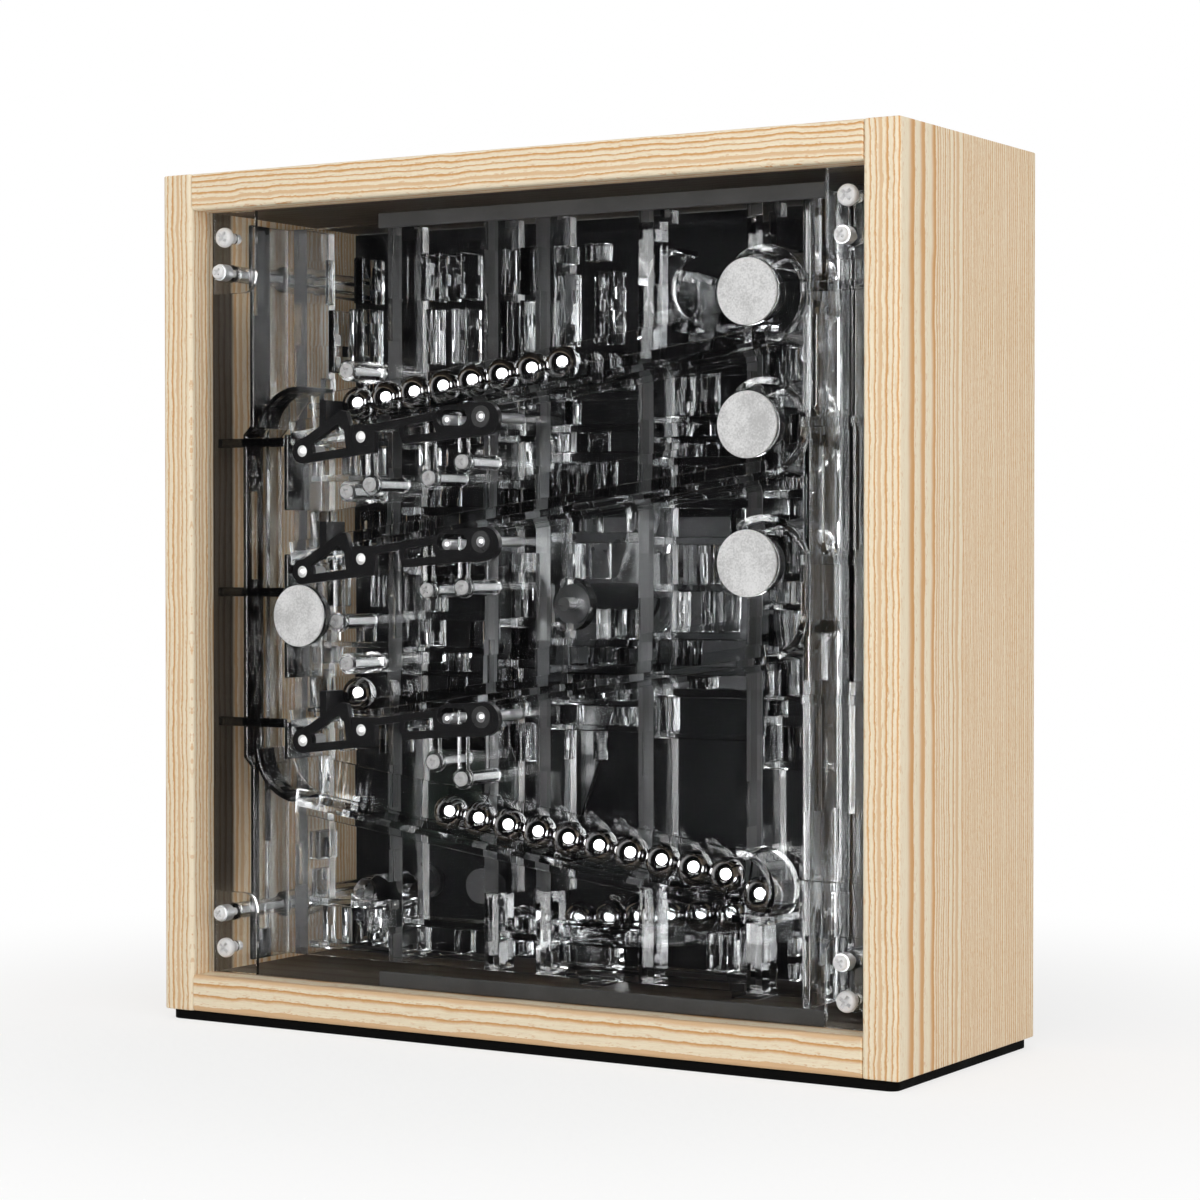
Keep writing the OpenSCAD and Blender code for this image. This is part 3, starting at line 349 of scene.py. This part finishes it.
# Each board's rings are pairs: a depth in mm from the face that shows most, and the rings passed there
FINISH = {
    "clear_acrylic": clear_finish("clear_acrylic", (9.0, 9.0, 9.0), 0.02),
    "main_frame": clear_finish("frame_acrylic", (2.5, 6.0, 13.0), 0.07, tint=0.90,
                               frosted_from=FRAME_BACK - 0.3 * MM),
    "frame_webs": clear_finish("web_acrylic", (2.2, 4.0, 3.4), 0.06, tint=0.86),
    # The channel's walls carry painted dark reflection: black edges, and black patches in their front 8 mm
    "return_channel": clear_finish("channel_acrylic", (2.4, 3.5, 27.0), 0.09, tint=0.6,
                                   painted_black_to=CHANNEL_FRONT + 8 * MM),
    "feed_column": clear_finish("column_acrylic", (6.0, 4.0, 36.0), 0.10, tint=0.92),
    "front_panel": panel_finish(),
    "ball_chrome": chrome_finish(),
    "side_board_right": pine_finish(
        "pine_right", 2, 1, 0, CASE_FRONT + CASE_HIGH.x, 1.0,
        [(-14, 0), (0, 8), (9, 9), (15.5, 10), (22, 11), (31, 17), (34, 18), (40, 20), (50, 30), (92, 62)]),
    "side_board_left": pine_finish(
        # The left board's last tuple paints shade on its inner face just behind the panel
        "pine_left", 2, 1, 0, CASE_FRONT - CASE_LOW.x, -1.0,
        [(-14, 0), (0, 8), (20, 15), (32, 18), (60, 32), (92, 52)], (PANEL_BACK, PANEL_BACK + 9 * MM, 1)),
    # The top board's last tuple paints shade on its underside behind the panel
    "top_board": pine_finish(
        "pine_top", 0, 2, 1, CASE_HIGH.z - BOARD_THICK + END_LEAN * CASE_FRONT, END_LEAN,
        [(-5, 0), (12, 10), (46, 26)], (PANEL_BACK, FAR_BACK, -1)),
    # The bottom board's last tuple paints shade on its upper face behind the panel
    "bottom_board": pine_finish(
        "pine_bottom", 0, 2, 1, CASE_LOW.z + END_LEAN * CASE_FRONT, END_LEAN,
        [(-5, 0), (12, 5), (46, 14)], (PANEL_BACK, FAR_BACK, 1)),
}
FINISH.update({name: plain_finish(name, *values) for name, values in PLAIN.items()})


# ---------------------------------------------------------------- meshes

def new_object(name, mesh):
    piece = bpy.data.objects.new(name, mesh)
    scene.collection.objects.link(piece)
    return piece


def merged(node):
    """A CAD node's mesh as one skin with flat faces joined."""
    skin = bmesh.new()
    skin.from_mesh(frame["nodes"][node].data)
    bmesh.ops.remove_doubles(skin, verts=skin.verts, dist=1e-6)
    bmesh.ops.dissolve_limit(skin, angle_limit=math.radians(0.6), verts=skin.verts, edges=skin.edges)
    return skin


def islands(skin):
    """The separate solids of a mesh, each a list of its vertices."""
    left, found = set(skin.verts), []
    while left:
        start = left.pop()
        group, fresh = [start], [start]
        while fresh:
            vertex = fresh.pop()
            for edge in vertex.link_edges:
                other = edge.other_vert(vertex)
                if other in left:
                    left.remove(other)
                    group.append(other)
                    fresh.append(other)
        found.append(group)
    return found


def solids(node):
    """Lowest and highest corner of each separate solid of a CAD node."""
    skin = merged(node)
    spans = []
    for group in islands(skin):
        at = [v.co for v in group]
        spans.append(tuple(Vector([end(c[i] for c in at) for i in range(3)]) for end in (min, max)))
    skin.free()
    return sorted(spans, key=lambda span: tuple(span[0]))


def settled(piece):
    """The piece with its modifiers made part of its mesh."""
    depsgraph = bpy.context.evaluated_depsgraph_get()
    depsgraph.update()
    mesh = bpy.data.meshes.new_from_object(piece.evaluated_get(depsgraph), preserve_all_data_layers=True,
                                           depsgraph=depsgraph)
    piece.modifiers.clear()
    piece.data = mesh
    mesh.name = piece.name
    return piece


def dressed(piece, nodes, finish):
    """Hands a finished piece to the frame: it stands for the nodes and rides where they ride."""
    piece.data.materials.clear()
    piece.data.materials.append(finish)
    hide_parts(*nodes)
    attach(piece, body_with[nodes[0]])
    return piece


def refined(node, edge, finish, segments=2):
    """A CAD node with its edges rounded by a small radius in mm and smooth curved faces."""
    skin = merged(node)
    for group in islands(skin):
        near = {e for v in group for e in v.link_edges
                if len(e.link_faces) == 2 and e.calc_face_angle(0.0) > math.radians(32)}
        if near:
            bmesh.ops.bevel(skin, geom=list(near), offset=edge * MM, offset_type="OFFSET", segments=segments,
                            profile=0.5, affect="EDGES", clamp_overlap=True)
    bmesh.ops.remove_doubles(skin, verts=skin.verts, dist=2e-7)
    mesh = bpy.data.meshes.new(node + "_finished")
    skin.to_mesh(mesh)
    skin.free()
    mesh.shade_smooth()
    mesh.set_sharp_from_angle(angle=math.radians(50))
    piece = new_object(node + "_finished", mesh)
    weighted = piece.modifiers.new("even", "WEIGHTED_NORMAL")
    weighted.keep_sharp = True
    return dressed(settled(piece), [node], finish)


def lathe(profile, steps):
    """A closed solid turned round the Y axis from (radius, y) pairs in mm, front first."""
    skin = bmesh.new()
    rows = []
    for radius, y in profile:
        if radius <= 0:
            rows.append([skin.verts.new((0, y * MM, 0))] * steps)
        else:
            turns = [math.tau * i / steps for i in range(steps)]
            rows.append([skin.verts.new((radius * MM * math.cos(turn), y * MM, radius * MM * math.sin(turn)))
                         for turn in turns])
    for one, two in zip(rows, rows[1:]):
        for i in range(steps):
            j = (i + 1) % steps
            ring = []
            for vertex in (one[i], one[j], two[j], two[i]):
                if vertex not in ring:
                    ring.append(vertex)
            skin.faces.new(ring)
    bmesh.ops.recalc_face_normals(skin, faces=skin.faces)
    return skin


def cross_cutter(width, reach, front, depth):
    """A four-way recess tool, narrower at its bottom."""
    skin = bmesh.new()
    rings = []
    for y, shrink in ((front, 1.0), (front + depth * 0.45, 0.86), (front + depth, 0.45)):
        w, r = width / 2 * (0.6 + 0.4 * shrink), reach / 2 * shrink
        outline = []
        for quarter in range(4):
            a = math.radians(45 + 90 * quarter)
            for dx, dy in ((r, -w), (r, w), (w, w)):
                outline.append(((dx * math.cos(a) - dy * math.sin(a)) * MM, y * MM,
                                (dx * math.sin(a) + dy * math.cos(a)) * MM))
        rings.append([skin.verts.new(place) for place in outline])
    for one, two in zip(rings, rings[1:]):
        for i in range(12):
            skin.faces.new((one[i], one[(i + 1) % 12], two[(i + 1) % 12], two[i]))
    skin.faces.new(rings[0])
    skin.faces.new(rings[-1])
    bmesh.ops.recalc_face_normals(skin, faces=skin.faces)
    return skin


def object_from(name, skin):
    mesh = bpy.data.meshes.new(name)
    skin.to_mesh(mesh)
    skin.free()
    return new_object(name, mesh)


def pan_head(name, diameter, height, shank, length):
    """A pan head screw with a cross recess, head forward, its seat at y = 0."""
    r = diameter / 2
    dome = ((0.35, 0.01), (0.6, 0.035), (0.75, 0.08), (0.86, 0.16), (0.94, 0.28), (0.985, 0.44))
    outline = [(0, -height)] + [(r * share, -height * (1 - drop)) for share, drop in dome]
    outline += [(r, -height * 0.42), (r, -height * 0.12), (r * 0.97, 0)]
    outline += [(shank / 2, 0), (shank / 2, length), (0, length)]
    head = object_from(name, lathe(outline, 40))
    cross = cross_cutter(diameter * 0.18, diameter * 0.72, -height - 0.5, height * 0.62 + 0.7)
    tool = object_from(name + "_tool", cross)
    cut = head.modifiers.new("recess", "BOOLEAN")
    cut.operation, cut.solver, cut.object = "DIFFERENCE", "EXACT", tool
    round_off = head.modifiers.new("edges", "BEVEL")
    round_off.width, round_off.segments = 0.06 * MM, 1
    round_off.limit_method, round_off.angle_limit = "ANGLE", math.radians(40)
    settled(head)
    bpy.data.objects.remove(tool)
    head.data.shade_smooth()
    head.data.set_sharp_from_angle(angle=math.radians(40))
    return head


# ---------------------------------------------------------------- copies on points

def copies_tree():
    """Geometry Nodes: one piece put on each point, turned a little by chance about Y."""
    tree = bpy.data.node_groups.new("copies_on_points", "GeometryNodeTree")
    sockets = {}
    for label, kind in (("Points", "Geometry"), ("Piece", "Object"), ("Turn", "Float"), ("Seed", "Int"),
                        ("Finish", "Material")):
        made = tree.interface.new_socket(label, in_out="INPUT", socket_type="NodeSocket" + kind)
        sockets[label] = made.identifier
    tree.interface.new_socket("Copies", in_out="OUTPUT", socket_type="NodeSocketGeometry")
    start = Wire(tree)
    given = tree.nodes.new("NodeGroupInput")
    wire = lambda label: Wire(tree, given.outputs[label])
    piece = start.node("GeometryNodeObjectInfo", {"transform_space": "ORIGINAL"},
                       {"Object": wire("Piece")}, "Geometry")
    chance = start.node("FunctionNodeRandomValue", {"data_type": "FLOAT"},
                        {2: -1.0, 3: 1.0, "Seed": wire("Seed")}, 1)
    spread = start.node("GeometryNodeInstanceOnPoints", {},
                        {"Points": wire("Points"), "Instance": piece,
                         "Rotation": start.joined(0.0, chance * wire("Turn"))})
    real = start.node("GeometryNodeRealizeInstances", {}, {"Geometry": spread})
    done = start.node("GeometryNodeSetMaterial", {}, {"Geometry": real, "Material": wire("Finish")})
    start.node("NodeGroupOutput", {}, {0: done})
    return tree, sockets


COPIES, COPY_SOCKETS = copies_tree()


def spread_copies(name, prototype, points, finish, turn=0.0, seed=0):
    """One mesh with the prototype on every point."""
    mesh = bpy.data.meshes.new(name)
    mesh.from_pydata([tuple(p) for p in points], [], [])
    piece = new_object(name, mesh)
    maker = piece.modifiers.new("copies", "NODES")
    maker.node_group = COPIES
    for label, value in (("Piece", prototype), ("Turn", turn), ("Seed", seed), ("Finish", finish)):
        maker[COPY_SOCKETS[label]] = value
    return settled(piece)


# ---------------------------------------------------------------- the clock's pieces

BOARDS = ("side_board_left", "side_board_right", "top_board", "bottom_board")
for board in BOARDS:
    refined(board, 0.45, FINISH[board], 3)
refined("front_panel", 0.2, FINISH["front_panel"])

# Clear nodes by the radius of their edges in mm
CLEAR_NODES = {
    0.2: ("rail_sleeves", "pickup_fins"),
    0.25: ("corner_brackets",),
    0.3: ("standoffs", "rear_posts", "channel_straps", "column_straps", "return_rail", "feed_chute"),
    0.35: ("main_frame", "minute_rail", "tens_rail", "hour_rail", "return_channel", "feed_column",
           "reservoir_rail", "lift_arm"),
    0.4: ("disc_studs",),
}
for edge, nodes in CLEAR_NODES.items():
    for node in nodes:
        like = "return_channel" if node == "channel_straps" else node
        refined(node, edge, FINISH.get(like, FINISH["clear_acrylic"]))

# In mm: the webs' front face, where they start and stop in height, where the last fin ends,
# from where there are only fins, the middles of the ribs, and half a rib's width with its gap
WEB_FRONT = -9.3
WEB_LOW, WEB_HIGH, FIN_END, ONLY_FINS = 20.0, 232, 234, 196
RIB_AT = (-98.0, -62.0, -26.8, -8.3, 27.1, 63.0, 80.9)
RIB_HALF = 2.6
# Room kept round other solids, more where balls roll
LITTLE_ROOM = Vector((0.8, 0.8, 0.8)) * MM
ROOM = {"waiting_ball": Vector((1.5, 20, 1.5)) * MM, "return_balls": Vector((14, 1.5, 1.5)) * MM}


def frame_webs():
    """The clear webs and short fins that stiffen the frame between its ribs, clear of all that is there."""
    taken = []
    for node in frame["nodes"]:
        if node not in ("main_frame", "front_panel", "back_panel", *BOARDS):
            room = ROOM.get(node, LITTLE_ROOM)
            taken += [(low - room, high + room) for low, high in solids(node)]
    chance = random.Random(11)
    skin = bmesh.new()

    def box(x1, x2, y2, z1, z2):
        low, high = Vector((x1, WEB_FRONT, z1)) * MM, Vector((x2, y2, z2)) * MM
        if any(all(low[i] < b[i] and high[i] > a[i] for i in range(3)) for a, b in taken):
            return
        made = bmesh.ops.create_cube(skin, size=1.0)["verts"]
        for vertex in made:
            vertex.co = Vector([low[i] + (vertex.co[i] + 0.5) * (high[i] - low[i]) for i in range(3)])
        bmesh.ops.bevel(skin, geom=list({e for v in made for e in v.link_edges}), offset=0.18 * MM,
                        segments=1, profile=0.5, affect="EDGES")

    for left, right in zip(RIB_AT, RIB_AT[1:]):
        x1, x2 = left + RIB_HALF, right - RIB_HALF
        z = WEB_LOW
        while z < WEB_HIGH:
            top = z + chance.uniform(1.2, 3.0)
            if z < ONLY_FINS:
                box(x1, x2, WEB_FRONT + chance.uniform(4, 12), z, top)
                z = top + chance.uniform(3.5, 12)
            else:
                z = top + chance.uniform(12, 30)
            for _ in range(chance.randint(2, 5)):
                x = chance.uniform(x1, x2 - 3)
                box(x, x + chance.uniform(1.0, 3.2), WEB_FRONT + chance.uniform(3, 12), top + 0.1,
                    min(z, FIN_END) - 0.1)
    piece = object_from("frame_webs", skin)
    piece.data.materials.append(FINISH["frame_webs"])
    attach(piece, body_with["main_frame"])


frame_webs()
for node in ("minute_rocker", "tens_rocker", "hour_rocker"):
    refined(node, 0.2, FINISH["rocker_black"])
refined("cross_strips", 0.3, FINISH["grey_plastic"])
refined("white_discs", 0.15, FINISH["white_card"])
refined("base_pad", 0.3, FINISH["pad_rubber"])


def ball(name, diameter):
    """A finely divided steel ball at the origin."""
    skin = bmesh.new()
    bmesh.ops.create_uvsphere(skin, u_segments=48, v_segments=24, radius=diameter / 2)
    made = object_from(name, skin)
    made.data.shade_smooth()
    return made


for node in ("minute_balls", "hour_ball", "reservoir_balls", "waiting_ball", "return_balls"):
    spans = solids(node)
    prototype = ball(node + "_one", spans[0][1].z - spans[0][0].z)
    middles = [(low + high) / 2 for low, high in spans]
    piece = spread_copies(node + "_finished", prototype, middles, FINISH["ball_chrome"])
    bpy.data.objects.remove(prototype)
    dressed(piece, [node], FINISH["ball_chrome"])


def screws(node, head_height, turn, seed):
    """The pan head screws of one node, each on its own place."""
    spans = solids(node)
    low, high = spans[0]
    diameter = (high.x - low.x) / MM
    length = (high.y - low.y) / MM - head_height
    prototype = pan_head(node + "_one", diameter, head_height, 3.0 if diameter > 5 else 2.0, length)
    seats = [((a.x + b.x) / 2, a.y + head_height * MM, (a.z + b.z) / 2) for a, b in spans]
    piece = spread_copies(node + "_finished", prototype, seats, FINISH["screw_steel"], turn, seed)
    bpy.data.objects.remove(prototype)
    dressed(piece, [node], FINISH["screw_steel"])


screws("corner_screws", 2.2, 0.25, 1)
screws("standoff_screws", 1.6, 0.3, 2)
screws("rail_screws", 1.6, 0.6, 3)

# Nodes whose CAD shape is right take their slot's finish as they are, or one by the end of their name
LOOK = {"bush": "rocker_bush", "axle": "rocker_bush", "weights": "washer_steel"}
for node, thing in frame["nodes"].items():
    if not thing.hide_render:
        look = LOOK.get(node.split("_")[-1], slot_with[node])
        for place in thing.material_slots:
            place.material = FINISH[look]


# ---------------------------------------------------------------- studio

CLOCK_MIDDLE = Vector((0, 0, 0.13))
CAMERA_AT = Vector((0.475790, -0.766841, 0.143852))
CAMERA_AZIMUTH = 31.562
CAMERA_TILT = 89.062
CAMERA_LENS = 90.81


def soft_lamp(name, direction, distance, radius, radiance, in_gloss=False, in_matt=True):
    """A round lamp of even brightness, that far from the clock in that direction."""
    data = bpy.data.lights.new(name, "AREA")
    data.shape, data.size = "DISK", 2 * radius
    data.energy = radiance * math.pi * math.pi * radius * radius
    lamp = bpy.data.objects.new(name, data)
    scene.collection.objects.link(lamp)
    lamp.location = CLOCK_MIDDLE + direction * distance
    lamp.rotation_euler = direction.to_track_quat("Z", "Y").to_euler()
    lamp.visible_camera = False
    lamp.visible_diffuse = in_matt
    lamp.visible_glossy = lamp.visible_transmission = in_gloss
    return lamp


floor_skin = bmesh.new()
bmesh.ops.create_grid(floor_skin, x_segments=8, y_segments=8, size=4.0)
floor = object_from("studio_floor", floor_skin)
floor.data.materials.append(floor_finish())
floor.visible_glossy = floor.visible_transmission = False

camera_data = bpy.data.cameras.new("camera")
camera_data.lens, camera_data.sensor_width = CAMERA_LENS, 36.0
camera_data.clip_start, camera_data.clip_end = 0.01, 50.0
camera = bpy.data.objects.new("camera", camera_data)
camera.location = CAMERA_AT
camera.rotation_euler = (math.radians(CAMERA_TILT), 0, math.radians(CAMERA_AZIMUTH))
scene.collection.objects.link(camera)
scene.camera = camera


def facing(azimuth, elevation):
    """A direction from the clock: azimuth to the right of straight ahead, in degrees."""
    a, e = math.radians(azimuth), math.radians(elevation)
    return Vector((math.sin(a) * math.cos(e), -math.cos(a) * math.cos(e), math.sin(e)))


soft_lamp("front_lamp", facing(22, 9.6), 1.3, 0.94, 1.48, in_gloss=True)
soft_lamp("side_lamp", facing(68, 14), 1.6, 0.6, 1.35)
soft_lamp("top_lamp", facing(0, 89.9), 2.2, 1.6, 0.7)
sparkle = soft_lamp("front_sparkle", facing(21, 9.6), 1.29, 0.93, 17.0, in_gloss=True, in_matt=False)
polished = bpy.data.collections.new("polished_pieces")
MATT_PIECES = (*BOARDS, "back_", "base_pad", "studio_", "white_discs", "cross_strips",
               "minute_rocker", "tens_rocker", "hour_rocker", "front_panel", "corner_screws",
               "standoff_screws", "rail_screws")
for thing in scene.objects:
    if thing.type == "MESH" and not thing.name.startswith(MATT_PIECES):
        polished.objects.link(thing)
sparkle.light_linking.receiver_collection = polished


def studio_world():
    """White to the camera and behind the clock, dark on the camera's side, even for the rest."""
    world = bpy.data.worlds.new("studio")
    scene.world = world
    world.use_nodes = True
    world.node_tree.nodes.clear()
    start = Wire(world.node_tree)
    ray = start.node("ShaderNodeTexCoord", output="Generated")
    ahead = start.node("ShaderNodeVectorMath", {"operation": "DOT_PRODUCT"},
                       {0: ray, 1: tuple(facing(CAMERA_AZIMUTH, 0))}, "Value")
    room = ahead.step(-0.25, 0.15).blend(rgb((1, 1, 1)), rgb((0.008, 0.008, 0.008)))
    even = seen_by(start, "Glossy", "Transmission").blend(rgb((0.33, 0.33, 0.33)), room)
    shown = seen_by(start, "Camera").blend(even, rgb((1, 1, 1)))
    background = start.node("ShaderNodeBackground", {}, {"Color": shown, "Strength": 1.0})
    start.node("ShaderNodeOutputWorld", {}, {"Surface": background})


studio_world()
scene.view_settings.view_transform = "Standard"
